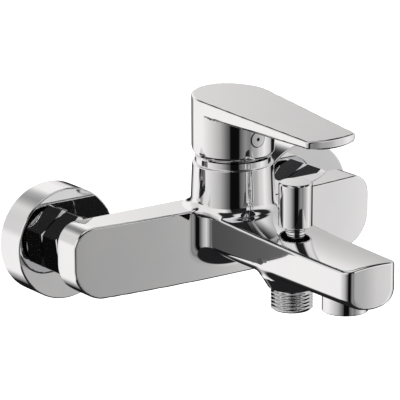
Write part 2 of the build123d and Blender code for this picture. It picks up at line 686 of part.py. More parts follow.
with BuildPart() as lever_handle:
    # one outline for the hub's top and the blade, cut to the sloping top
    with BuildSketch(level(BLADE_KEEL_Z - 1)):
        with BuildLine():
            Line((tangent_x, tangent_y), (TIP_HALF_WIDTH, corner_y))
            ThreePointArc((TIP_HALF_WIDTH, corner_y), (0, -LEVER_TIP), (-TIP_HALF_WIDTH, corner_y))
            Line((-TIP_HALF_WIDTH, corner_y), (-tangent_x, tangent_y))
            ThreePointArc((-tangent_x, tangent_y), (0, VALVE_Y + HUB_R), (tangent_x, tangent_y))
        make_face()
        fillet(vertices().group_by(Axis.Y)[0], TIP_CORNER)
    extrude(amount=20)
    split(bisect_by=lever_top_plane, keep=Keep.BOTTOM)
    fillet(faces().sort_by(Axis.Z)[-1].edges(), LEVER_TOP_EDGE)
    # keel-shaped underside
    with BuildSketch(wall_plane(0)):
        with BuildLine():
            ThreePointArc((-HUB_R - 1, BLADE_EDGE_Z), (0, BLADE_KEEL_Z), (HUB_R + 1, BLADE_EDGE_Z))
            Polyline(
                (HUB_R + 1, BLADE_EDGE_Z),
                (HUB_R + 1, LEVER_TOP + 5),
                (-HUB_R - 1, LEVER_TOP + 5),
                (-HUB_R - 1, BLADE_EDGE_Z),
            )
        make_face()
    extrude(amount=LEVER_TIP + 5, mode=Mode.INTERSECT)
    add(hub_skirt.part)
    # relief behind the axis, so that the skirt clears the rim when the lever is lifted
    with BuildSketch(Plane((-HUB_R - 1, VALVE_Y, HUB_BOTTOM), x_dir=(0, 1, 0), z_dir=(1, 0, 0))):
        with BuildLine():
            Polyline((0, 0), (RELIEF_LENGTH, 0), (RELIEF_LENGTH, relief_height), (0, 0))
        make_face()
    extrude(amount=2 * HUB_R + 2, mode=Mode.SUBTRACT)
    with BuildSketch(valve_level(HUB_BOTTOM)):
        Circle(HUB_CAVITY_R)
    extrude(amount=HUB_CEILING - HUB_BOTTOM, mode=Mode.SUBTRACT)
    # socket for the stem, with a tapped hole for the grub screw
    with BuildSketch(valve_level(SOCKET_MOUTH)):
        Circle(SOCKET_R)
    extrude(amount=HUB_CEILING - SOCKET_MOUTH + 1)
    with BuildSketch(valve_level(SOCKET_MOUTH)):
        Rectangle(STEM_X + 2 * FIT, STEM_Y + 2 * FIT)
    extrude(amount=STEM_TOP + FIT - SOCKET_MOUTH, mode=Mode.SUBTRACT)
    with BuildSketch(facing_room(-VALVE_Y, z=PLUG_Z)):
        Circle(SCREW_R + FIT)
    extrude(amount=SOCKET_R + 1, mode=Mode.SUBTRACT)
    with BuildSketch(facing_room(HUB_CAVITY_R + PLUG_BORE_START - VALVE_Y, z=PLUG_Z)):
        Circle(PLUG_R + FIT)
    extrude(amount=8, mode=Mode.SUBTRACT)
finish(lever_handle.part, "lever_handle")

with BuildPart() as lever_screw:
    with BuildSketch(facing_room(STEM_Y / 2 + FIT - VALVE_Y, z=PLUG_Z)):
        Circle(SCREW_R)
    extrude(amount=SCREW_LENGTH)
    chamfer(edges().group_by(Axis.Y)[-1], SCREW_CHAMFER)
    with BuildSketch(facing_room(STEM_Y / 2 + FIT - VALVE_Y + SCREW_LENGTH - SCREW_KEY[1], z=PLUG_Z)):
        RegularPolygon(SCREW_KEY[0], 6, major_radius=False)
    extrude(amount=SCREW_KEY[1], mode=Mode.SUBTRACT)
finish(lever_screw.part, "lever_screw")

with BuildPart() as index_plug:
    with BuildSketch(facing_room(HUB_CAVITY_R + PLUG_INSET - VALVE_Y, z=PLUG_Z)):
        Circle(PLUG_R)
    extrude(amount=HUB_R + PLUG_PROUD - HUB_CAVITY_R - PLUG_INSET)
    chamfer(edges().group_by(Axis.Y)[0], PLUG_CHAMFER)
    with BuildSketch(facing_room(HUB_R - PLUG_EYE[1] - VALVE_Y, z=PLUG_Z)):
        Circle(PLUG_EYE[0])
    extrude(amount=2 * PLUG_EYE[1], mode=Mode.SUBTRACT)
finish(index_plug.part, "index_plug")

# ---------------------------------------------------------------- diverter
SEAL_THICKNESS = 1.0
PLUG_END_GAP = 0.1
PLUG_BOTTOM = DIVERTER_FLOOR + SEAL_THICKNESS
PLUG_TOP = BUSH_BOTTOM - DIVERTER_TRAVEL - SEAL_THICKNESS - PLUG_END_GAP
DISC_R = 5.4
SPRING_TOP = 11.0
SPRING_R = 2.95
SPRING_WIRE_R = 0.4
SPRING_TURNS = 6
SPRING_GAP = 0.05


def diverter_level(z):
    return level(z, y=DIVERTER_Y)


with BuildPart() as diverter_bush:
    with BuildSketch(diverter_level(BUSH_BOTTOM)):
        Circle(BUSH_R)
    extrude(amount=BUSH_TOP - BUSH_BOTTOM)
    chamfer(edges().group_by(Axis.Z)[-1], BUSH_CHAMFER)
    # waisted neck between the spout's top and the collar
    with BuildSketch(diverter_level(NECK_TOP - NECK_GROOVE)):
        Circle(BUSH_R)
        Circle(NECK_R, mode=Mode.SUBTRACT)
    extrude(amount=NECK_GROOVE, mode=Mode.SUBTRACT)
    # spring chamber and seat, then the hole for the stem
    with BuildSketch(diverter_level(BUSH_BOTTOM)):
        Circle(SEAT_HOLE_R)
    extrude(amount=SPRING_TOP - BUSH_BOTTOM, mode=Mode.SUBTRACT)
    with BuildSketch(diverter_level(BUSH_BOTTOM)):
        Circle(DIVERTER_STEM_R + RUN)
    extrude(amount=BUSH_TOP - BUSH_BOTTOM, mode=Mode.SUBTRACT)
    with BuildSketch(diverter_level(O_RING_Z - O_RING_GROOVE[1] / 2)):
        Circle(O_RING_GROOVE[0])
    extrude(amount=O_RING_GROOVE[1], mode=Mode.SUBTRACT)
    # window towards the spout's tip
    with BuildSketch(facing_room(-DIVERTER_Y, z=DOWNSTREAM_Z)):
        Circle(WINDOW_R)
    extrude(amount=WINDOW_REACH, mode=Mode.SUBTRACT)
finish(diverter_bush.part, "diverter_bush")

with BuildPart() as diverter_o_ring:
    with BuildSketch(Plane((0, DIVERTER_Y, O_RING_Z), x_dir=(1, 0, 0), z_dir=(0, -1, 0))):
        with Locations((O_RING_R, 0)):
            Circle(O_RING_WIRE_R)
    revolve(axis=Axis((0, DIVERTER_Y, 0), (0, 0, 1)))
finish(diverter_o_ring.part, "diverter_o_ring")

with BuildPart() as diverter_stem:
    with BuildSketch(diverter_level(PLUG_BOTTOM)):
        Circle(DIVERTER_STEM_R)
    extrude(amount=KNOB_BOTTOM + KNOB_GRIP - PLUG_BOTTOM)
finish(diverter_stem.part, "diverter_stem")

with BuildPart() as diverter_knob:
    with BuildSketch(diverter_level(KNOB_BOTTOM)):
        Circle(KNOB_R)
    extrude(amount=KNOB_TOP - KNOB_BOTTOM)
    fillet(edges().group_by(Axis.Z)[-1], KNOB_TOP_EDGE)
    fillet(edges().group_by(Axis.Z)[0], KNOB_BOTTOM_EDGE)
    with BuildSketch(diverter_level(KNOB_BOTTOM)):
        Circle(KNOB_HOLLOW_R)
        Circle(KNOB_SOCKET_R, mode=Mode.SUBTRACT)
    extrude(amount=KNOB_HOLLOW_DEPTH, mode=Mode.SUBTRACT)
    with BuildSketch(diverter_level(KNOB_BOTTOM)):
        Circle(DIVERTER_STEM_R + FIT)
    extrude(amount=KNOB_GRIP + FIT, mode=Mode.SUBTRACT)
finish(diverter_knob.part, "diverter_knob")

ring(diverter_level(PLUG_BOTTOM), DISC_R, DIVERTER_STEM_R + FIT, PLUG_TOP - PLUG_BOTTOM, "diverter_plug")
ring(diverter_level(PLUG_TOP), DISC_R, SPRING_R + 1.0, SEAL_THICKNESS, "diverter_upper_seal")
with BuildPart() as diverter_lower_seal:
    with BuildSketch(diverter_level(DIVERTER_FLOOR)):
        Circle(DISC_R)
    extrude(amount=SEAL_THICKNESS)
finish(diverter_lower_seal.part, "diverter_lower_seal")

spring_bottom = PLUG_TOP + SPRING_WIRE_R + SPRING_GAP
spring_height = SPRING_TOP - SPRING_WIRE_R - SPRING_GAP - spring_bottom
with BuildPart() as diverter_spring:
    with BuildLine() as coil:
        Helix(spring_height / SPRING_TURNS, spring_height, SPRING_R, center=(0, DIVERTER_Y, spring_bottom))
    with BuildSketch(Plane(origin=coil.line @ 0, z_dir=coil.line % 0)):
        Circle(SPRING_WIRE_R)
    sweep(is_frenet=True)
finish(diverter_spring.part, "diverter_spring")

# ---------------------------------------------------------------- shower outlet
with BuildPart() as shower_outlet:
    with BuildSketch(level(OUTLET_END, y=OUTLET_Y)):
        Circle(G_HALF_R)
    extrude(amount=BOSS_BOTTOM - OUTLET_END)
    chamfer(edges().group_by(Axis.Z)[0], OUTLET_CHAMFER)
    with BuildSketch(level(BOSS_BOTTOM, y=OUTLET_Y)):
        Circle(SHANK_R)
    extrude(amount=SOCKET_TOP - BOSS_BOTTOM - OUTLET_WASHER_THICKNESS)
    with BuildSketch(level(OUTLET_END, y=OUTLET_Y)):
        Circle(OUTLET_BORE_R)
    extrude(amount=SOCKET_TOP - OUTLET_END, mode=Mode.SUBTRACT)
finish(shower_outlet.part, "shower_outlet")

washer_level = level(SOCKET_TOP - OUTLET_WASHER_THICKNESS, y=OUTLET_Y)
ring(washer_level, SHANK_R, OUTLET_WASHER_BORE_R, OUTLET_WASHER_THICKNESS - FIT, "outlet_washer")

with BuildPart() as outlet_check_valve:
    with BuildSketch(level(OUTLET_VALVE_BOTTOM, y=OUTLET_Y)):
        Circle(OUTLET_BORE_R - FIT)
        Circle(OUTLET_VALVE_BORE_R, mode=Mode.SUBTRACT)
    extrude(amount=OUTLET_VALVE_LENGTH)
    with BuildSketch(level(OUTLET_VALVE_BOTTOM + OUTLET_GRILLE[0], y=OUTLET_Y)):
        Circle(OUTLET_GRILLE[1])
        with PolarLocations(OUTLET_HOLES[0], GRILLE_HOLES):
            Circle(OUTLET_HOLES[1], mode=Mode.SUBTRACT)
    extrude(amount=OUTLET_GRILLE[2])
    with BuildSketch(level(OUTLET_VALVE_BOTTOM + OUTLET_GUIDE[0], y=OUTLET_Y)):
        Circle(OUTLET_GUIDE[1])
    extrude(amount=OUTLET_GUIDE[2])
finish(outlet_check_valve.part, "outlet_check_valve")

# ---------------------------------------------------------------- aerator
with BuildPart() as aerator_housing:
    with BuildSketch(level(AERATOR_BOTTOM, y=AERATOR_Y)):
        Circle(AERATOR_R)
    extrude(amount=AERATOR_SHOULDER - AERATOR_BOTTOM)
    fillet(edges().group_by(Axis.Z)[0], AERATOR_EDGE)
    with BuildSketch(level(AERATOR_SHOULDER, y=AERATOR_Y)):
        Circle(AERATOR_THREAD_R)
    extrude(amount=AERATOR_SEAT - AERATOR_WASHER_THICKNESS - AERATOR_SHOULDER)
    with BuildSketch(level(AERATOR_BOTTOM, y=AERATOR_Y)):
        Circle(AERATOR_MOUTH_R)
    extrude(amount=AERATOR_SEAT - AERATOR_BOTTOM, mode=Mode.SUBTRACT)
    with BuildSketch(level(AERATOR_BOTTOM + AERATOR_LIP, y=AERATOR_Y)):
        Circle(AERATOR_BORE_R)
    extrude(amount=AERATOR_SEAT - AERATOR_BOTTOM, mode=Mode.SUBTRACT)
finish(aerator_housing.part, "aerator_housing")

with BuildPart() as aerator_insert:
    with BuildSketch(level(AERATOR_BOTTOM + AERATOR_LIP, y=AERATOR_Y)):
        Circle(AERATOR_BORE_R - FIT)
        Circle(INSERT_BORE_R, mode=Mode.SUBTRACT)
    extrude(amount=INSERT_LENGTH)
    # plate with two rings of holes, which splits the flow
    with BuildSketch(level(AERATOR_BOTTOM + SLOT_PLATE[0], y=AERATOR_Y)):
        Circle(SLOT_PLATE[1])
        for circle_r, count, hole_r in SLOT_RINGS:
            with PolarLocations(circle_r, count):
                Circle(hole_r, mode=Mode.SUBTRACT)
    extrude(amount=SLOT_PLATE[2])
finish(aerator_insert.part, "aerator_insert")

with BuildPart() as aerator_screen:
    with BuildSketch(level(AERATOR_BOTTOM + SCREEN_INSET, y=AERATOR_Y)):
        Circle(INSERT_BORE_R - FIT)
        with GridLocations(SCREEN_PITCH, SCREEN_PITCH, SCREEN_COUNT, SCREEN_COUNT):
            Rectangle(SCREEN_MESH, SCREEN_MESH, mode=Mode.SUBTRACT)
    extrude(amount=SCREEN_THICKNESS)
finish(aerator_screen.part, "aerator_screen")

washer_level = level(AERATOR_SEAT - AERATOR_WASHER_THICKNESS, y=AERATOR_Y)
washer_thickness = AERATOR_WASHER_THICKNESS - FIT
ring(washer_level, AERATOR_WASHER_OUTER_R, AERATOR_WASHER_BORE_R, washer_thickness, "aerator_washer")
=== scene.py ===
"""Looks of the wall mounted bath faucet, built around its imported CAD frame. Metres, +Z up, the wall is Y = 0.

The visible skins of the casting and the lever are worked out from distance fields, so that the bar, spout and
valve cylinder run into each other as one casting, and the blade into its hub. Their lengths, and those of the
turned pieces, are in millimetres.
"""

import json
import math

import bmesh
import bpy
import numpy as np
from mathutils import Matrix, Vector


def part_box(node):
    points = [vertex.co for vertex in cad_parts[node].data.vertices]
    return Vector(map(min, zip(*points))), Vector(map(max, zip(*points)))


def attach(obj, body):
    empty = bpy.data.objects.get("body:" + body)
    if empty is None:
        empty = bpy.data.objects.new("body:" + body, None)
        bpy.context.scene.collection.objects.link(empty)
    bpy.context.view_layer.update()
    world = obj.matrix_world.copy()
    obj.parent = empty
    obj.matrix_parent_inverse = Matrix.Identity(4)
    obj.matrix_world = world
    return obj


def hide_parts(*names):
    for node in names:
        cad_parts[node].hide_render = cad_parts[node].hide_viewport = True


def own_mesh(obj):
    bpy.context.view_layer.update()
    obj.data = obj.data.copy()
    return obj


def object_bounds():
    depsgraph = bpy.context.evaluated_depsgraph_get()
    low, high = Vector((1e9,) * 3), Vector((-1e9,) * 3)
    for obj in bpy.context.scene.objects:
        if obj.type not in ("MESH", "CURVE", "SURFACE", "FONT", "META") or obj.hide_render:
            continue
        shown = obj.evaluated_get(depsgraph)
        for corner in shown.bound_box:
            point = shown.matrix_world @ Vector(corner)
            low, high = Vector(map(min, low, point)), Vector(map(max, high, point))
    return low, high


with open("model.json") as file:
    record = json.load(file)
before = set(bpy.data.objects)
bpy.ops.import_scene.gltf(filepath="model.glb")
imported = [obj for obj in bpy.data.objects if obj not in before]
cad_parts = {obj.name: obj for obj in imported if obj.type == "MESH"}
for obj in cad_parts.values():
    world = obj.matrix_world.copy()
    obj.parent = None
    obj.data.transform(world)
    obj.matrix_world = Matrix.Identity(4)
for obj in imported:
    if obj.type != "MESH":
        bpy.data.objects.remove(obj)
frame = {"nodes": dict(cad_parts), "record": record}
CAD_LOW, CAD_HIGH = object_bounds()
MM = 0.001
TINY = 1e-9                    # keeps divisions from zero
SLIVER = 4e-6                  # points closer than this are merged after a boolean, metres
SPECK = 4e-6                   # separate bits of skin smaller than this area are dropped, square metres


def corners(node):
    """Lowest and highest corner of a CAD node, in millimetres."""
    low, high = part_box(node)
    return low / MM, high / MM


def middle(node):
    """Centre of a CAD node's box, in millimetres."""
    low, high = corners(node)
    return (low + high) / 2


# ---------------------------------------------------------------- materials
METAL_CLOUD = 35.0             # scale of the slow change of colour, cycles per metre
MOULDED_CLOUD = 60.0


def new_material(name):
    """A node material with its shader and a helper's view of its nodes and links."""
    material = bpy.data.materials.new(name)
    material.use_nodes = True
    return material, material.node_tree.nodes, material.node_tree.links


def noise(nodes, links, scale, detail=3.0, stretch=None):
    """Noise on the object's own coordinates, in cycles per metre, stretched along an axis if asked."""
    place = nodes.new("ShaderNodeTexCoord")
    source = place.outputs["Object"]
    if stretch:
        mapping = nodes.new("ShaderNodeMapping")
        mapping.inputs["Scale"].default_value = stretch
        links.new(source, mapping.inputs["Vector"])
        source = mapping.outputs["Vector"]
    texture = nodes.new("ShaderNodeTexNoise")
    texture.inputs["Scale"].default_value = scale
    texture.inputs["Detail"].default_value = detail
    links.new(source, texture.inputs["Vector"])
    return texture.outputs["Fac"]


def spread(nodes, links, value, low, high, start=0.3, end=0.7):
    """Maps a noise value to a range."""
    ramp = nodes.new("ShaderNodeMapRange")
    ramp.interpolation_type = "SMOOTHSTEP"
    ramp.inputs["From Min"].default_value = start
    ramp.inputs["From Max"].default_value = end
    ramp.inputs["To Min"].default_value = low
    ramp.inputs["To Max"].default_value = high
    links.new(value, ramp.inputs["Value"])
    return ramp.outputs["Result"]


def tint(nodes, links, value, first, second):
    """A colour between two, by a value."""
    mix = nodes.new("ShaderNodeMix")
    mix.data_type = "RGBA"
    mix.inputs["A"].default_value = (*first, 1)
    mix.inputs["B"].default_value = (*second, 1)
    links.new(value, mix.inputs["Factor"])
    return mix.outputs["Result"]


def bump(nodes, links, shader, value, depth):
    """A fine relief, its depth in metres."""
    relief = nodes.new("ShaderNodeBump")
    relief.inputs["Strength"].default_value = 1.0
    relief.inputs["Distance"].default_value = depth
    links.new(value, relief.inputs["Height"])
    links.new(relief.outputs["Normal"], shader.inputs["Normal"])


def metal(name, first, second, rough, grain_scale, grain_depth=0.0, stretch=None):
    """Metal whose colour and polish vary a little, with wiping marks or turning lines as relief."""
    material, nodes, links = new_material(name)
    shader = nodes["Principled BSDF"]
    shader.inputs["Metallic"].default_value = 1.0
    cloud = noise(nodes, links, METAL_CLOUD)
    colour = tint(nodes, links, spread(nodes, links, cloud, 0, 1), first, second)
    links.new(colour, shader.inputs["Base Color"])
    grain = noise(nodes, links, grain_scale, 4.0, stretch)
    links.new(spread(nodes, links, grain, *rough), shader.inputs["Roughness"])
    if grain_depth:
        bump(nodes, links, shader, grain, grain_depth)
    return material


def moulded(name, first, second, rough, grain_scale, grain_depth):
    """Plastic, rubber or ceramic with a faint surface grain; also the near-black paint used as painted shade.
    """
    material, nodes, links = new_material(name)
    shader = nodes["Principled BSDF"]
    cloud = noise(nodes, links, MOULDED_CLOUD)
    colour = tint(nodes, links, spread(nodes, links, cloud, 0, 1), first, second)
    links.new(colour, shader.inputs["Base Color"])
    grain = noise(nodes, links, grain_scale, 3.0)
    links.new(spread(nodes, links, grain, *rough), shader.inputs["Roughness"])
    bump(nodes, links, shader, grain, grain_depth)
    return material


MATERIALS = {
    "chrome": metal("chrome", (0.90, 0.90, 0.91), (0.87, 0.87, 0.885), (0.025, 0.055), 900.0),
    "brass": metal("brass", (0.74, 0.56, 0.28), (0.64, 0.46, 0.2), (0.18, 0.34), 1800.0, 4e-6, (1, 0.15, 1)),
    "steel": metal("steel", (0.66, 0.66, 0.67), (0.56, 0.56, 0.57), (0.2, 0.34), 2200.0, 2e-6, (1, 1, 0.15)),
    "rubber": moulded("rubber", (0.025, 0.025, 0.026), (0.045, 0.045, 0.046), (0.55, 0.75), 2600.0, 8e-6),
    "white_plastic": moulded("white_plastic", (0.8, 0.8, 0.78), (0.74, 0.74, 0.71), (0.35, 0.5), 1600.0, 3e-6),
    "ceramic": moulded("ceramic", (0.87, 0.85, 0.8), (0.83, 0.8, 0.75), (0.12, 0.22), 1200.0, 1e-6),
    # near-black paint: painted shade under the knob and painted shadow in the neck's grooves, and the dark
    # joint and eye of the index plug
    "dark": moulded("dark_joints_and_painted_shade", (0.006, 0.006, 0.007), (0.012, 0.012, 0.013), (0.5, 0.7), 1500.0, 2e-6),
    "index_plug": metal("index_plug", (0.8, 0.8, 0.82), (0.74, 0.74, 0.76), (0.08, 0.16), 2400.0),
}

# what the spout holds
INNER = ("diverter_stem", "diverter_plug", "diverter_spring", "diverter_upper_seal", "diverter_lower_seal",
         "diverter_o_ring", "outlet_washer", "outlet_check_valve", "aerator_housing", "aerator_insert",
         "aerator_screen", "aerator_washer")


def dress_cad_nodes():
    """Gives every carried-over CAD node the material of its slot. Mirrors leave out what the spout holds."""
    for node in INNER:
        frame["nodes"][node].visible_glossy = False
    slots = {s["node"]: s["material_slot"] for s in frame["record"]["subparts"]}
    for node, piece in frame["nodes"].items():
        for place in piece.material_slots:
            place.material = MATERIALS[slots[node]]


# ---------------------------------------------------------------- casting, as a distance field in millimetres
BODY_LOW, BODY_HIGH = corners("body_casting")
BAR_HALF = BODY_HIGH.x
BAR_BOTTOM = BODY_LOW.z
BAR_TOP = 17.1
BAR_BACK = -BODY_HIGH.y
BAR_FRONT = 56.3
BAR_SWEEP = 5.95               # how far the front's ends lie behind its middle
BAR_TOP_CORNER = 11.0
BAR_BOTTOM_CORNER = 17.0
EDGE = 0.9                     # rounding of the casting's outer edges
CORE_HALF = 45.0               # middle part of the bar, which the spout grows out of

VALVE_Y = middle("cartridge_base").y
RIM_Z = BODY_HIGH.z
RIM_R = 20.6
CYLINDER_GROWTH = 0.041        # radius gained per millimetre downwards
CYLINDER_FOOT = 15.0
FLARE = 4.5                    # hollow blend at the cylinder's foot
FLARE_LEAST = 0.3              # the blend's size below the cylinder's foot
FLARE_FADES = (12.5, 17.5)     # heights between which that blend grows from its least
ROOT = 7.5                     # hollow blend between the spout's flanks and the bar

# distance from the wall, half width, edge height, crown, bottom height
SPOUT_STATIONS = np.array((
    (46.0, 20.4, 16.9, 1.6, -8.0),
    (62.0, 19.6, 16.0, 2.3, -8.3),
    (84.0, 18.3, 13.9, 2.5, -8.8),
    (106.0, 17.4, 12.5, 1.9, -9.2),
    (140.0, 16.6, 11.4, 1.6, -9.7),
    (172.0, 15.8, 10.6, 1.4, -10.0),
))
SPOUT_FITS = [np.polyfit(SPOUT_STATIONS[:, 0], SPOUT_STATIONS[:, i], 3) for i in range(1, 5)]
SPOUT_KEEL = 8.0               # height of the rounded underside
SPOUT_TIP = -BODY_LOW.y
SPOUT_EDGE = 1.4               # rounding of the spout's upper edges
TIP_RADIUS = 138.6
TIP_CORNER = 5.0
SPOUT_START = 50.0
TOP_MEETS = (56.0, 74.0)       # where the bar's level top passes into the spout's crowned one

OUTLET_Y = middle("shower_outlet").y
BOSS_R = 11.5
BOSS_BOTTOM = -14.6
BOSS_GROWTH = 0.6
BOSS_LARGEST = 15.5
BOSS_BLEND = 2.5

DIVERTER_Y = middle("diverter_knob").y
AERATOR_Y = middle("aerator_housing").y
AERATOR_SHOULDER = -7.0        # the housing's wide part ends here, in the underside of the spout
INLET_X = middle("inlet_tail_cold").x

# holes cut in the casting
ON_AXIS = 0.001                # radius of a turned cutter's points on its axis
PAST = 5.0                     # how far a cutter reaches past the skin
CHAMBER_R, CHAMBER_MOUTH_R = 17.6, 18.6
CHAMBER_FLOOR, CHAMBER_STEP = 9.0, 33.0
WELL_R, BUSH_HOLE_R = 5.8, 3.9
WELL_BOTTOM, WELL_TOP = -9.2, 10.0
AERATOR_HOLE_R, AERATOR_WAY_R = 11.35, 10.65
AERATOR_WAY_TOP = -2.0
OUTLET_HOLE_R, OUTLET_HOLE_TOP = 9.05, -10.8
TAIL_HOLE_R, TAIL_HOLE_START, TAIL_HOLE_END = 9.95, 30.0, 43.5
UNDER_SPOUT, OVER_SPOUT = -25.0, 25.0
SPLIT_REACH, SPLIT_HEIGHT = 66.0, 8.0   # the spout's own piece lies beyond and below these
SPLIT_HALF = 60.0

GRID = 0.8                     # cell of the grid that the skin is drawn on
SETTLE_ROUNDS = 12
RELAX_ROUNDS = 3
LEAST_SLOPE = 0.05             # of a squared gradient, so that settling stays steady
ON_SKIN = 0.02                 # points this near the field's skin are shaded by its slope
TURNED_CREASE = math.radians(28)
CUT_CREASE = math.radians(35)
THREAD_CREASE = math.radians(60)

LEVER_LOW, LEVER_HIGH = corners("lever_handle")
HUB_R = LEVER_HIGH.x
HUB_LOW = LEVER_LOW.z
HUB_ROUND = 3.0
LEVER_TOP = 73.36              # over the cartridge's axis
LEVER_SLOPE = math.radians(3.9)
LEVER_END = -LEVER_LOW.y
LEVER_END_RADIUS = 47.5
LEVER_CORNER = 1.6
TIP_HALF = 14.6
LEVER_TOP_ROUND = 0.8
LEVER_KEEL_ROUND = 1.1
BLADE_EDGE = 65.4              # height of the blade's underside at its edges
BLADE_KEEL = 62.9              # and along its middle
KEEL_SPAN = 1.2                # the underside stops rising at this share of the hub's radius, squared
SKIRT_OVERLAP = 2.0            # how far the hub's side reaches up into the blade
LEVER_CAVITY_R, LEVER_CAVITY_TOP = 17.5, 66.0
PLUG_HOLE_GAP = 0.05
PLUG_HOLE_START = 70.0         # distance from the wall
SOCKET_R, SOCKET_BOTTOM, SOCKET_TOP = 8.0, 51.5, 66.5
SLOT_HALF, SLOT_HALF_DEPTH = 4.05, 3.55    # square hole for the stem
SLOT_BOTTOM, SLOT_TOP = 50.0, 63.05
SCREW_HOLE_R, SCREW_HOLE_START, SCREW_HOLE_END = 2.55, 50.0, 70.0
RELIEF_HALF, RELIEF_LENGTH, RELIEF_DROP = 24.0, 25.0, 1.0
RELIEF_ANGLE = math.radians(24)            # the back of the hub clears the rim when the lever lifts

KNOB_EDGE = 0.8
KNOB_HOLLOW = 5.0              # depth of the hollow underneath
KNOB_RIM, KNOB_WALL = 0.9, 1.3             # wall of the knob at its rim and at the hollow's ceiling
KNOB_SOCKET_R, KNOB_SOCKET_INSET = 3.4, 0.1
STEM_HOLE_R, STEM_HOLE_DEPTH = 2.05, 12.05
KNOB_CORNERS = (0, 0, 0, 0.5, 0.5, 0.3, 0.2, 0, 0, 0, 0)   # rounding of each point of the knob's profile
PAINTED_SHADE_INSET, PAINTED_SHADE_RISE = 0.85, 0.1          # faces inside the rim and below the ceiling are painted near-black, as painted shade under the knob

NECK_BORE_R = 2.08
# radius and height up the neck's outside, from the casting to the collar
NECK_OUTSIDE = (
    (5.3, 11.5), (4.9, 11.5), (4.9, 15.0), (4.3, 15.0), (4.3, 15.4), (5.05, 15.4), (5.05, 15.95),
    (4.3, 15.95), (4.3, 16.35), (5.25, 16.35),
)
NECK_FOOT_R, NECK_COLLAR_R = 5.3, 5.25
NECK_GROOVE_SHADOWS = {4, 5, 6, 8, 9, 10}         # spans of the profile painted near-black, as painted shadow in the grooves

THREAD_PITCH = 25.4 / 14       # 14 turns to the inch
THREAD_DEPTH = 1.16
THREAD_INSET = 0.9             # plain ends below and above the thread
THREAD_ROWS = 12               # for each turn
THREAD_STEPS = 160
THREAD_WALL = 0.3              # only points this near the outside carry the thread
RIDGE_STEEP, RIDGE_FLAT = 1.5, 0.25
OUTLET_BORE_R, OUTLET_NECK_R, OUTLET_SHANK_R = 6.6, 9.3, 9.0
OUTLET_CHAMFER_IN, OUTLET_CHAMFER_OUT, OUTLET_CHAMFER_RISE = 1.2, 0.9, 0.2

# the plug's profile, as distances in from its rim and back from its front
PLUG_JOINT, PLUG_JOINT_DEPTH = 0.45, 0.4
PLUG_SHOULDER, PLUG_SHOULDER_DEPTH = 0.55, 0.05
PLUG_FACE = 0.9
PLUG_EYE_R, PLUG_EYE_FLOOR_R, PLUG_EYE_DEPTH = 0.95, 0.85, 0.5
PLUG_DARK = {1, 2, 3, 6, 7}


def round_join(first, second, radius):
    """Union with a hollow blend of that radius."""
    u, v = np.maximum(radius - first, 0), np.maximum(radius - second, 0)
    return np.maximum(radius, np.minimum(first, second)) - np.hypot(u, v)


def round_cut(first, second, radius):
    """Intersection with a rounded edge of that radius."""
    u, v = np.maximum(radius + first, 0), np.maximum(radius + second, 0)
    return np.minimum(-radius, np.maximum(first, second)) + np.hypot(u, v)


def ease(value):
    """Smooth step from 0 to 1."""
    t = np.clip(value, 0, 1)
    return t * t * (3 - 2 * t)


def bar_field(x, z, sweep, back):
    """The cross bar: an outline with rounded corners between a swept front and a flat back."""
    half_height, centre = (BAR_TOP - BAR_BOTTOM) / 2, (BAR_TOP + BAR_BOTTOM) / 2
    corner = np.where(z > centre, BAR_TOP_CORNER, BAR_BOTTOM_CORNER)
    u = np.abs(x) - BAR_HALF + corner
    v = np.abs(z - centre) - half_height + corner
    outline = np.minimum(np.maximum(u, v), 0) + np.hypot(np.maximum(u, 0), np.maximum(v, 0)) - corner
    return round_cut(round_cut(outline, sweep, EDGE), back, EDGE)


def boss_field(x, y, z):
    """The boss under the spout that carries the shower outlet."""
    radius = np.minimum(BOSS_R + (z - BOSS_BOTTOM) * BOSS_GROWTH, BOSS_LARGEST)
    cone = (np.hypot(x, y - OUTLET_Y) - radius) * math.cos(math.atan(BOSS_GROWTH))
    return np.maximum(round_cut(cone, BOSS_BOTTOM - z, EDGE), z)


def casting_field(points):
    """Distance to the casting's skin, about; negative inside."""
    x, y, z = points.T
    reach = -y
    sweep_r = (BAR_HALF ** 2 + BAR_SWEEP ** 2) / (2 * BAR_SWEEP)
    sweep = np.hypot(x, y + BAR_FRONT - sweep_r) - sweep_r
    back = BAR_BACK - reach
    bar = bar_field(x, z, sweep, back)
    core = np.maximum(round_cut(BAR_BOTTOM - z, sweep, EDGE), np.maximum(back, np.abs(x) - CORE_HALF))

    along = np.clip(reach, SPOUT_STATIONS[0, 0], SPOUT_STATIONS[-1, 0])
    half, edge, crown, bottom = (np.polyval(fit, along) for fit in SPOUT_FITS)
    across = x / half
    below = np.minimum(z - bottom - SPOUT_KEEL, 0) / SPOUT_KEEL
    size = np.hypot(across, below) + TINY
    flank = (size - 1) * size / np.hypot(across / half, below / SPOUT_KEEL + TINY)
    tip = np.hypot(x, y + SPOUT_TIP - TIP_RADIUS) - TIP_RADIUS
    flank = round_cut(flank, tip, EDGE + (TIP_CORNER - EDGE) * ease((z - bottom) / SPOUT_KEEL))
    flank = round_join(np.maximum(flank, SPOUT_START - reach), boss_field(x, y, z), BOSS_BLEND)

    blend = ease((reach - TOP_MEETS[0]) / (TOP_MEETS[1] - TOP_MEETS[0]))
    top = BAR_TOP + (edge + crown * (1 - np.minimum(across ** 2, 1)) - BAR_TOP) * blend
    body = np.minimum(bar, round_cut(round_join(core, flank, ROOT), z - top, SPOUT_EDGE))

    wall = np.hypot(x, y - VALVE_Y) - RIM_R - (RIM_Z - z) * CYLINDER_GROWTH
    cylinder = np.maximum(round_cut(wall, z - RIM_Z, EDGE / 2), CYLINDER_FOOT - z)
    flare_start, flare_end = FLARE_FADES
    flare = FLARE_LEAST + (FLARE - FLARE_LEAST) * ease((z - flare_start) / (flare_end - flare_start))
    return round_join(body, cylinder, flare)


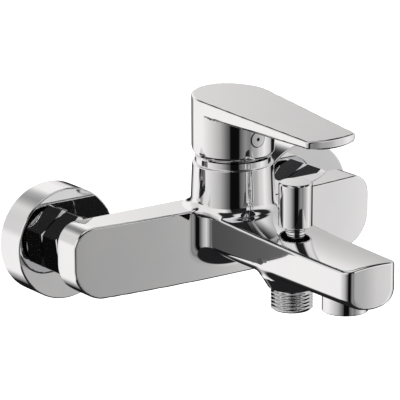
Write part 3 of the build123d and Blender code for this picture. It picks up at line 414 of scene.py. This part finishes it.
def lever_outline(x, y):
    """Distance to the outline seen from above: the hub's circle run into the blade's blunter tip."""
    reach = LEVER_END - LEVER_CORNER + VALVE_Y
    half = TIP_HALF - LEVER_CORNER
    taper = math.asin((HUB_R - LEVER_CORNER - half) / reach)
    along, aside = -(y - VALVE_Y), np.abs(x)
    side = aside * math.cos(taper) + along * math.sin(taper) - HUB_R
    hub = np.hypot(aside, along) - HUB_R
    beside = np.where(along < math.sin(taper) * HUB_R, hub, side)
    end = np.hypot(x, y + LEVER_END - LEVER_END_RADIUS) - LEVER_END_RADIUS
    return np.where(along > 0, round_cut(beside, end, LEVER_CORNER), beside)


def lever_field(points):
    """Distance to the lever's outer skin, about: a sloping flat blade with a keel over the round hub."""
    x, y, z = points.T
    outline = lever_outline(x, y)
    top = (z - LEVER_TOP + (VALVE_Y - y) * math.tan(LEVER_SLOPE)) * math.cos(LEVER_SLOPE)
    keel = BLADE_KEEL + (BLADE_EDGE - BLADE_KEEL) * np.minimum((x / HUB_R) ** 2, KEEL_SPAN) - z
    blade = round_cut(round_cut(outline, top, LEVER_TOP_ROUND), keel, LEVER_KEEL_ROUND)
    hub = np.hypot(x, y - VALVE_Y) - HUB_R
    skirt = round_cut(np.maximum(hub, z - BLADE_EDGE - SKIRT_OVERLAP), HUB_LOW - z, HUB_ROUND)
    return np.minimum(blade, skirt)


def slope_of(field, points, step=0.01):
    """The field's gradient, by central differences."""
    slope = np.empty_like(points)
    for axis in range(3):
        shift = np.zeros(3)
        shift[axis] = step
        slope[:, axis] = (field(points + shift) - field(points - shift)) / (2 * step)
    return slope


def settle(field, points, rounds):
    """Moves points onto the field's skin."""
    for _ in range(rounds):
        slope = slope_of(field, points)
        length = np.maximum((slope ** 2).sum(axis=1), LEAST_SLOPE)
        points = points - slope * np.clip(field(points) / length, -GRID, GRID)[:, None]
    return points


def skin_of(field, low, high):
    """Closed quad mesh of a field's skin: one point for each grid cell that the skin crosses."""
    axes = [np.arange(a - 2 * GRID, b + 3 * GRID, GRID) for a, b in zip(low, high)]
    grid = np.stack(np.meshgrid(*axes, indexing="ij"), axis=-1)
    inside = (field(grid.reshape(-1, 3)) < 0).reshape(grid.shape[:3])
    count = sum(
        inside[i:inside.shape[0] - 1 + i, j:inside.shape[1] - 1 + j, k:inside.shape[2] - 1 + k].astype(int)
        for i in (0, 1) for j in (0, 1) for k in (0, 1)
    )
    crossed = (count > 0) & (count < 8)
    index = np.full(crossed.shape, -1)
    index[crossed] = np.arange(crossed.sum())
    points = grid[:-1, :-1, :-1][crossed] + GRID / 2
    quads = []
    for axis in range(3):
        here = np.moveaxis(inside, axis, 0)
        cells = np.moveaxis(index, axis, 0)
        change = here[:-1, 1:-1, 1:-1] != here[1:, 1:-1, 1:-1]
        near, far = cells[:, :-1], cells[:, 1:]
        ring = np.stack((near[:, :, :-1], far[:, :, :-1], far[:, :, 1:], near[:, :, 1:]), axis=-1)[change]
        outward = here[:-1, 1:-1, 1:-1][change] == (axis != 1)
        ring[~outward] = ring[~outward][:, ::-1]
        quads.append(ring)
    return points, np.concatenate(quads)


def relaxed(field, points, quads, rounds):
    """Evens out the points along the skin."""
    pairs = np.concatenate([quads[:, (i, (i + 1) % 4)] for i in range(4)])
    degree = np.bincount(pairs[:, 0], minlength=len(points))
    start, end = pairs.T
    for _ in range(rounds):
        around = np.stack([np.bincount(start, points[end, i], len(points)) for i in range(3)], axis=1)
        points = settle(field, (points + around / degree[:, None]) / 2, 2)
    return points


# ---------------------------------------------------------------- meshes
def new_piece(name, points, faces, slots, face_slots=None):
    """A smooth-shaded object from points in millimetres."""
    mesh = bpy.data.meshes.new(name)
    mesh.from_pydata(np.asarray(points) * MM, [], [tuple(int(i) for i in face) for face in faces])
    for material in slots:
        mesh.materials.append(MATERIALS[material])
    if face_slots is not None:
        mesh.polygons.foreach_set("material_index", face_slots)
    mesh.shade_smooth()
    mesh.update()
    piece = bpy.data.objects.new(name, mesh)
    bpy.context.collection.objects.link(piece)
    return piece


def field_piece(name, field, low, high):
    """A field's skin as an object, with its points evened out."""
    points, quads = skin_of(field, np.array(low), np.array(high))
    points = relaxed(field, settle(field, points, SETTLE_ROUNDS), quads, RELAX_ROUNDS)
    return new_piece(name, points, quads, ["chrome"])


def round_hole(radius, start, end):
    """Profile of a plain round cutter."""
    return [(ON_AXIS, start), (radius, start), (radius, end), (ON_AXIS, end)]


def stepped_hole(radius, start, step, second_radius, end):
    """Profile of a round cutter that changes its radius at a step."""
    return [(ON_AXIS, start), (radius, start), (radius, step), (second_radius, step), (second_radius, end),
            (ON_AXIS, end)]


def lathe(name, profile, centre, slots, dark=(), axis="Z", steps=128, ripple=None):
    """Turns a closed profile of (radius, height) about an axis. Profile spans listed as dark take slot 1.

    ripple gives a change of radius from the angle and the height, which makes a thread.
    """
    angles = np.arange(steps) * 2 * math.pi / steps
    rows = []
    for radius, height in profile:
        r = radius + (ripple(angles, radius, height) if ripple else np.zeros(steps))
        rows.append(np.stack((r * np.cos(angles), r * np.sin(angles), np.full(steps, height)), axis=1))
    points = np.concatenate(rows)
    if axis == "-Y":
        points = np.stack((points[:, 0], -points[:, 2], points[:, 1]), axis=1)
    faces, face_slots = [], []
    for i in range(len(profile)):
        j = (i + 1) % len(profile)
        for k in range(steps):
            n = (k + 1) % steps
            faces.append((i * steps + k, i * steps + n, j * steps + n, j * steps + k))
            face_slots.append(1 if i in dark else 0)
    piece = new_piece(name, points + np.array(centre), faces, slots, face_slots)
    piece.data.set_sharp_from_angle(angle=TURNED_CREASE)
    return piece


def bevelled(points, radius, steps=4):
    """A profile whose corners are rounded by that radius, or by each corner's own."""
    rounded = []
    count = len(points)
    for i, (here, size) in enumerate(zip(points, radius)):
        if not size:
            rounded.append(here)
            continue
        here = Vector(here)
        before = (Vector(points[i - 1]) - here).normalized()
        after = (Vector(points[(i + 1) % count]) - here).normalized()
        reach = size / math.tan(before.angle(after) / 2)
        start, end = here + before * reach, here + after * reach
        for step in range(steps + 1):
            t = step / steps
            rounded.append(tuple(start * (1 - t) ** 2 + here * 2 * t * (1 - t) + end * t ** 2))
    return rounded


def cut(piece, cutter, operation):
    """Applies a boolean and gives the result as a new mesh on the same object."""
    change = piece.modifiers.new("cut", "BOOLEAN")
    change.operation = operation
    change.solver = "MANIFOLD"
    change.object = cutter
    graph = bpy.context.evaluated_depsgraph_get()
    result = bpy.data.meshes.new_from_object(piece.evaluated_get(graph))
    piece.modifiers.clear()
    piece.data = result


def box_piece(low, high):
    """A plain box to cut with."""
    x, y, z = zip(low, high)
    points = [(x[i], y[j], z[k]) for i in (0, 1) for j in (0, 1) for k in (0, 1)]
    faces = [(0, 1, 3, 2), (4, 6, 7, 5), (0, 4, 5, 1), (2, 3, 7, 6), (0, 2, 6, 4), (1, 5, 7, 3)]
    return new_piece("cutter", points, faces, ["chrome"])


def drop(*pieces):
    """Removes cutters that have done their work."""
    for piece in pieces:
        bpy.data.objects.remove(piece)


def clean(piece):
    """Merges the slivers that booleans leave along their cuts, and drops specks beside the skin."""
    mesh = bmesh.new()
    mesh.from_mesh(piece.data)
    bmesh.ops.triangulate(mesh, faces=mesh.faces)
    for _ in range(3):
        bmesh.ops.remove_doubles(mesh, verts=mesh.verts, dist=SLIVER)
        bmesh.ops.dissolve_degenerate(mesh, edges=mesh.edges, dist=SLIVER)
        bmesh.ops.triangulate(mesh, faces=mesh.faces)
    waiting = set(mesh.faces)
    while waiting:
        first = waiting.pop()
        island, frontier = {first}, [first]
        while frontier:
            for edge in frontier.pop().edges:
                for face in edge.link_faces:
                    if face in waiting:
                        waiting.remove(face)
                        island.add(face)
                        frontier.append(face)
        if sum(face.calc_area() for face in island) < SPECK:
            bmesh.ops.delete(mesh, geom=list(island), context="FACES")
    loose = [vertex for vertex in mesh.verts if not vertex.link_faces]
    bmesh.ops.delete(mesh, geom=loose, context="VERTS")
    mesh.to_mesh(piece.data)
    mesh.free()


def follow_field(piece, field):
    """Shades the skin by the field's own slope, and cut faces by their own."""
    mesh = piece.data
    points = np.empty(len(mesh.vertices) * 3)
    mesh.vertices.foreach_get("co", points)
    points = points.reshape(-1, 3) / MM
    slope = slope_of(field, points)
    slope /= np.maximum(np.linalg.norm(slope, axis=1), TINY)[:, None]
    slope[np.abs(field(points)) > ON_SKIN] = 0
    mesh.shade_smooth()
    mesh.set_sharp_from_angle(angle=CUT_CREASE)
    mesh.normals_split_custom_set_from_vertices(slope)


def make_casting():
    """The casting's skin, bored out where its inner pieces sit. The spout is a piece of its own."""
    body = field_piece("casting_body", casting_field, BODY_LOW, BODY_HIGH)

    holes = [
        (VALVE_Y, stepped_hole(CHAMBER_R, CHAMBER_FLOOR, CHAMBER_STEP, CHAMBER_MOUTH_R, RIM_Z + PAST)),
        (DIVERTER_Y, stepped_hole(WELL_R, WELL_BOTTOM, WELL_TOP, BUSH_HOLE_R, OVER_SPOUT)),
        (OUTLET_Y, round_hole(OUTLET_HOLE_R, UNDER_SPOUT, OUTLET_HOLE_TOP)),
        (AERATOR_Y,
         stepped_hole(AERATOR_HOLE_R, UNDER_SPOUT, AERATOR_SHOULDER, AERATOR_WAY_R, AERATOR_WAY_TOP)),
    ]
    cutters = [lathe("cutter", profile, (0, y, 0), ["chrome"]) for y, profile in holes]
    for side in (-1, 1):
        socket = round_hole(TAIL_HOLE_R, TAIL_HOLE_START, TAIL_HOLE_END)
        cutters.append(lathe("cutter", socket, (side * INLET_X, 0, 0), ["chrome"], axis="-Y"))
    for cutter in cutters:
        cut(body, cutter, "DIFFERENCE")

    spout = body.copy()
    spout.name = "casting_spout"
    bpy.context.collection.objects.link(spout)
    front = box_piece(
        (-SPLIT_HALF, -SPOUT_TIP - 2 * PAST, -SPLIT_HALF), (SPLIT_HALF, -SPLIT_REACH, SPLIT_HEIGHT),
    )
    cut(spout, front, "INTERSECT")
    cut(body, front, "DIFFERENCE")
    drop(front, *cutters)
    for piece in (body, spout):
        clean(piece)
        follow_field(piece, casting_field)
        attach(piece, "fixture")
        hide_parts("body_casting")
    spout.visible_glossy = False


# ---------------------------------------------------------------- turned pieces
def make_knob():
    """Pull knob, hollow underneath round the socket for its stem, with its underside painted near-black as
    painted shade.
    """
    low, high = corners("diverter_knob")
    radius, ceiling, hole_end = high.x, low.z + KNOB_HOLLOW, low.z + STEM_HOLE_DEPTH
    socket_end = low.z + KNOB_SOCKET_INSET
    profile = [
        (STEM_HOLE_R, hole_end), (ON_AXIS, hole_end), (ON_AXIS, high.z), (radius - KNOB_EDGE, high.z),
        (radius, high.z - KNOB_EDGE), (radius, low.z), (radius - KNOB_RIM, low.z),
        (radius - KNOB_WALL, ceiling), (KNOB_SOCKET_R, ceiling), (KNOB_SOCKET_R, socket_end),
        (STEM_HOLE_R, socket_end),
    ]
    rounded = bevelled(profile, KNOB_CORNERS)[::-1]
    # faces of the hollow underside take the near-black slot: painted shade
    under = [r < radius - PAINTED_SHADE_INSET and z < ceiling + PAINTED_SHADE_RISE for r, z in rounded]
    dark = {i for i in range(len(rounded) - 1) if under[i] and under[i + 1]}
    knob = lathe("knob", rounded, (0, DIVERTER_Y, 0), ["chrome", "dark"], dark)
    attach(knob, "diverter")
    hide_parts("diverter_knob")


def make_neck():
    """Bush that the knob's stem slides in, with two grooves under its collar painted near-black as painted
    shadow.
    """
    low, high = corners("diverter_bush")
    profile = [
        (NECK_BORE_R, low.z), (NECK_FOOT_R, low.z), *NECK_OUTSIDE,
        (NECK_COLLAR_R, high.z), (NECK_BORE_R, high.z),
    ]
    neck = lathe("neck", profile, (0, DIVERTER_Y, 0), ["chrome", "dark"], NECK_GROOVE_SHADOWS)
    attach(neck, "fixture")
    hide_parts("diverter_bush")


def make_spring():
    """Return spring of the diverter, copied from its CAD node as it stands. In the faucet its plug closes it up
    against the bush as the knob is pulled.
    """
    source = frame["nodes"]["diverter_spring"]
    spring = bpy.data.objects.new("return_spring", source.data.copy())
    bpy.context.collection.objects.link(spring)
    spring.visible_glossy = False
    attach(spring, "fixture")
    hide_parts("diverter_spring")
    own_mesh(spring)


def make_outlet():
    """Shower outlet with a real G 1/2 thread."""
    low, high = corners("shower_outlet")
    radius = high.x
    start, end = low.z + THREAD_INSET, BOSS_BOTTOM - THREAD_INSET

    def thread(angles, at_radius, height):
        if at_radius < radius - THREAD_WALL or not start < height < end:
            return np.zeros(len(angles))
        turn = (height / THREAD_PITCH - angles / (2 * math.pi)) % 1.0
        ridge = np.clip(np.abs(turn * 2 - 1) * RIDGE_STEEP - RIDGE_FLAT, 0, 1)
        return -THREAD_DEPTH * ease(ridge)

    profile = [
        (OUTLET_BORE_R, high.z), (OUTLET_BORE_R, low.z), (radius - OUTLET_CHAMFER_IN, low.z),
        (radius - OUTLET_CHAMFER_OUT, low.z + OUTLET_CHAMFER_RISE),
    ]
    profile += [(radius, float(z)) for z in np.arange(start, end, THREAD_PITCH / THREAD_ROWS)]
    profile += [
        (OUTLET_NECK_R, end), (OUTLET_NECK_R, BOSS_BOTTOM),
        (OUTLET_SHANK_R, BOSS_BOTTOM), (OUTLET_SHANK_R, high.z),
    ]
    place = (0, OUTLET_Y, 0)
    outlet = lathe("threaded_outlet", profile, place, ["chrome"], steps=THREAD_STEPS, ripple=thread)
    outlet.data.set_sharp_from_angle(angle=THREAD_CREASE)
    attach(outlet, "fixture")
    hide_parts("shower_outlet")
    outlet.visible_glossy = False


def make_plug():
    """Index plug in the hub's front, with a dark eye and a dark joint round it."""
    low, high = corners("index_plug")
    centre = middle("index_plug")
    front, back, radius = -low.y, -high.y, high.x
    eye_floor = front - PLUG_EYE_DEPTH
    profile = [
        (ON_AXIS, back), (radius, back), (radius, front - PLUG_JOINT),
        (radius - PLUG_JOINT, front - PLUG_JOINT_DEPTH),
        (radius - PLUG_SHOULDER, front - PLUG_SHOULDER_DEPTH), (radius - PLUG_FACE, front),
        (PLUG_EYE_R, front), (PLUG_EYE_FLOOR_R, eye_floor), (ON_AXIS, eye_floor),
    ]
    plug = lathe("plug", profile, (0, 0, centre.z), ["index_plug", "dark"], PLUG_DARK, axis="-Y")
    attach(plug, "lever")
    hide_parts("index_plug")


def make_lever():
    """The lever's skin, hollow for the cartridge and bored for its plug, with the stem's socket inside."""
    lever = field_piece("lever_skin", lever_field, LEVER_LOW, LEVER_HIGH)

    plug_low, plug_high = corners("index_plug")
    plug_z = middle("index_plug").z
    cavity = round_hole(LEVER_CAVITY_R, HUB_LOW - PAST, LEVER_CAVITY_TOP)
    bore = round_hole(plug_high.x + PLUG_HOLE_GAP, PLUG_HOLE_START, -plug_low.y + PAST)
    foot, back = HUB_LOW - RELIEF_DROP, VALVE_Y + RELIEF_LENGTH
    rise = RELIEF_LENGTH * math.tan(RELIEF_ANGLE)
    outline = [(VALVE_Y, foot), (back, foot), (back, HUB_LOW + rise), (VALVE_Y, HUB_LOW)]
    wedge = [(x, y, z) for x in (-RELIEF_HALF, RELIEF_HALF) for y, z in outline]
    sides = [(0, 3, 2, 1), (4, 5, 6, 7), (0, 1, 5, 4), (1, 2, 6, 5), (2, 3, 7, 6), (3, 0, 4, 7)]
    cutters = [
        lathe("cutter", cavity, (0, VALVE_Y, 0), ["chrome"]),
        lathe("cutter", bore, (0, 0, plug_z), ["chrome"], axis="-Y"),
        new_piece("cutter", wedge, sides, ["chrome"]),
    ]
    for cutter in cutters:
        cut(lever, cutter, "DIFFERENCE")
    socket = lathe("socket", round_hole(SOCKET_R, SOCKET_BOTTOM, SOCKET_TOP), (0, VALVE_Y, 0), ["chrome"])
    slot = box_piece(
        (-SLOT_HALF, VALVE_Y - SLOT_HALF_DEPTH, SLOT_BOTTOM), (SLOT_HALF, VALVE_Y + SLOT_HALF_DEPTH, SLOT_TOP),
    )
    screw_hole = round_hole(SCREW_HOLE_R, SCREW_HOLE_START, SCREW_HOLE_END)
    screw = lathe("cutter", screw_hole, (0, 0, plug_z), ["chrome"], axis="-Y")
    cut(lever, socket, "UNION")
    cut(lever, slot, "DIFFERENCE")
    cut(lever, screw, "DIFFERENCE")
    drop(socket, slot, screw, *cutters)
    clean(lever)
    follow_field(lever, lever_field)
    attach(lever, "lever")
    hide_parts("lever_handle")


# ---------------------------------------------------------------- studio
# brightness of the studio by direction: degrees from straight in front, positive to the right
LOW_BAND = [
    (-180, 0.60), (-174, 0.97), (-131, 0.97), (-96, 0.70), (-74, 0.50), (-54, 0.17), (-46, 0.08),
    (-43.5, 0.004), (-20, 0.004), (-17, 0.10), (-2, 0.30), (12, 0.22), (20, 0.39), (27, 0.42), (34, 0.49),
    (41, 0.68), (50, 0.75), (60, 0.95), (78, 0.70), (90, 0.55), (96, 0.01), (167, 0.01), (180, 0.60),
]
HIGH_BAND = [
    (-180, 0.85), (-150, 0.70), (-120, 0.85), (-60, 0.90), (-46, 0.30), (-43.5, 0.01), (8, 0.02), (24, 0.75),
    (60, 0.90), (110, 0.60), (138, 0.56), (142, 0.70), (145, 0.84), (149, 0.98), (180, 0.95),
]

# heights in degrees between which one band passes into the next
LOW_STARTS, HIGH_STARTS, RING_STARTS, OVERHEAD_STARTS = (-42, -34), (-2, 8), (30, 40), (54, 62)

BELOW = (0.015, 0.015, 0.016, 1)
RING = (0.02, 0.02, 0.021, 1)
OVERHEAD = (0.78, 0.78, 0.79, 1)
BACKDROP = (1, 1, 1, 1)        # what the camera sees directly
WARMTH = (0.985, 0.97)         # green and blue of a panel, as shares of its red

FLOOR_HALF, FLOOR_DROP = 6.0, 0.45         # metres; how far the floor lies below the faucet


def band_ramp(nodes, band):
    """A colour ramp round the horizon."""
    ramp = nodes.new("ShaderNodeValToRGB")
    stops = ramp.color_ramp.elements
    while len(stops) < len(band):
        stops.new(0.5)
    for stop, (degrees, tone) in zip(stops, band):
        stop.position = (degrees + 180) / 360
        stop.color = (tone, tone * WARMTH[0], tone * WARMTH[1], 1)
    return ramp


def make_studio():
    """Black, grey and white panels, told apart only by their direction.

    Mirrors see the panels, and the camera sees a plain white backdrop.
    """
    world = bpy.data.worlds.new("studio")
    bpy.context.scene.world = world
    world.use_nodes = True
    nodes, links = world.node_tree.nodes, world.node_tree.links
    place = nodes.new("ShaderNodeTexCoord")
    split = nodes.new("ShaderNodeSeparateXYZ")
    links.new(place.outputs["Generated"], split.inputs["Vector"])

    def arithmetic(operation, first, second=None):
        node = nodes.new("ShaderNodeMath")
        node.operation = operation
        for socket, value in zip(node.inputs, (first, second)):
            if value is None:
                continue
            if isinstance(value, (int, float)):
                socket.default_value = value
            else:
                links.new(value, socket)
        return node.outputs["Value"]

    backwards = arithmetic("MULTIPLY", split.outputs["Y"], -1.0)
    turn = arithmetic("ARCTAN2", split.outputs["X"], backwards)
    around = arithmetic("ADD", arithmetic("DIVIDE", turn, 2 * math.pi), 0.5)
    low, high = band_ramp(nodes, LOW_BAND), band_ramp(nodes, HIGH_BAND)
    links.new(around, low.inputs["Fac"])
    links.new(around, high.inputs["Fac"])

    def blend_by_height(below, above, start, end):
        step = nodes.new("ShaderNodeMapRange")
        step.interpolation_type = "SMOOTHSTEP"
        step.inputs["From Min"].default_value = math.sin(math.radians(start))
        step.inputs["From Max"].default_value = math.sin(math.radians(end))
        links.new(split.outputs["Z"], step.inputs["Value"])
        mix = nodes.new("ShaderNodeMix")
        mix.data_type = "RGBA"
        links.new(step.outputs["Result"], mix.inputs["Factor"])
        for socket, value in (("A", below), ("B", above)):
            if isinstance(value, tuple):
                mix.inputs[socket].default_value = value
            else:
                links.new(value, mix.inputs[socket])
        return mix.outputs["Result"]

    tone = blend_by_height(BELOW, low.outputs["Color"], *LOW_STARTS)
    tone = blend_by_height(tone, high.outputs["Color"], *HIGH_STARTS)
    tone = blend_by_height(tone, RING, *RING_STARTS)
    tone = blend_by_height(tone, OVERHEAD, *OVERHEAD_STARTS)
    rays = nodes.new("ShaderNodeLightPath")
    seen = nodes.new("ShaderNodeMix")
    seen.data_type = "RGBA"
    seen.inputs["B"].default_value = BACKDROP
    links.new(rays.outputs["Is Camera Ray"], seen.inputs["Factor"])
    links.new(tone, seen.inputs["A"])
    links.new(seen.outputs["Result"], nodes["Background"].inputs["Color"])


def make_floor():
    """Plain pale floor, well below the faucet. Mirrors don't see it, so the panels above set their look."""
    half = FLOOR_HALF
    height = CAD_LOW.z - FLOOR_DROP
    mesh = bpy.data.meshes.new("floor")
    square = [(-half, -half, height), (half, -half, height), (half, half, height), (-half, half, height)]
    mesh.from_pydata(square, [], [(0, 1, 2, 3)])
    floor = bpy.data.objects.new("floor", mesh)
    bpy.context.collection.objects.link(floor)
    material, nodes, links = new_material("pale_floor")
    shader = nodes["Principled BSDF"]
    shader.inputs["Roughness"].default_value = 0.9
    cloud = noise(nodes, links, 3.0)
    links.new(tint(nodes, links, cloud, (0.88, 0.88, 0.88), (0.9, 0.9, 0.9)), shader.inputs["Base Color"])
    shader.inputs["Emission Color"].default_value = (1, 1, 1, 1)
    shader.inputs["Emission Strength"].default_value = 0.85
    mesh.materials.append(material)
    floor.visible_glossy = False


def make_lamp():
    """One large soft lamp overhead, unseen in mirrors."""
    data = bpy.data.lights.new("overhead", "AREA")
    data.shape = "DISK"
    data.size = 1.6
    data.energy = 22.0
    lamp = bpy.data.objects.new("overhead", data)
    bpy.context.collection.objects.link(lamp)
    lamp.location = (-0.4, -0.7, 1.6)
    aim = Vector((0, -0.08, 0)) - lamp.location
    lamp.rotation_euler = aim.to_track_quat("-Z", "Y").to_euler()
    lamp.visible_glossy = False


def make_camera():
    """The camera stands to the left and a little above, far away with a long lens."""
    turn, rise, roll = math.radians(35.76), math.radians(15.85), math.radians(-0.19)
    back = Vector((-math.sin(turn) * math.cos(rise), -math.cos(turn) * math.cos(rise), math.sin(rise)))
    data = bpy.data.cameras.new("camera")
    data.sensor_width = 36.0
    data.lens = 265.95
    data.shift_x, data.shift_y = -0.002, 0.0113
    data.clip_start, data.clip_end = 0.05, 50.0
    camera = bpy.data.objects.new("camera", data)
    bpy.context.collection.objects.link(camera)
    camera.rotation_mode = "QUATERNION"
    tilt = Matrix.Rotation(roll, 3, "Z").to_quaternion()
    camera.rotation_quaternion = (-back).to_track_quat("-Z", "Y") @ tilt
    camera.location = (-0.8512, -1.2100, 0.4236)
    bpy.context.scene.camera = camera


dress_cad_nodes()
make_casting()
make_knob()
make_neck()
make_spring()
make_outlet()
make_plug()
make_lever()
make_studio()
make_floor()
make_lamp()
make_camera()
bpy.context.scene.view_settings.view_transform = "Standard"
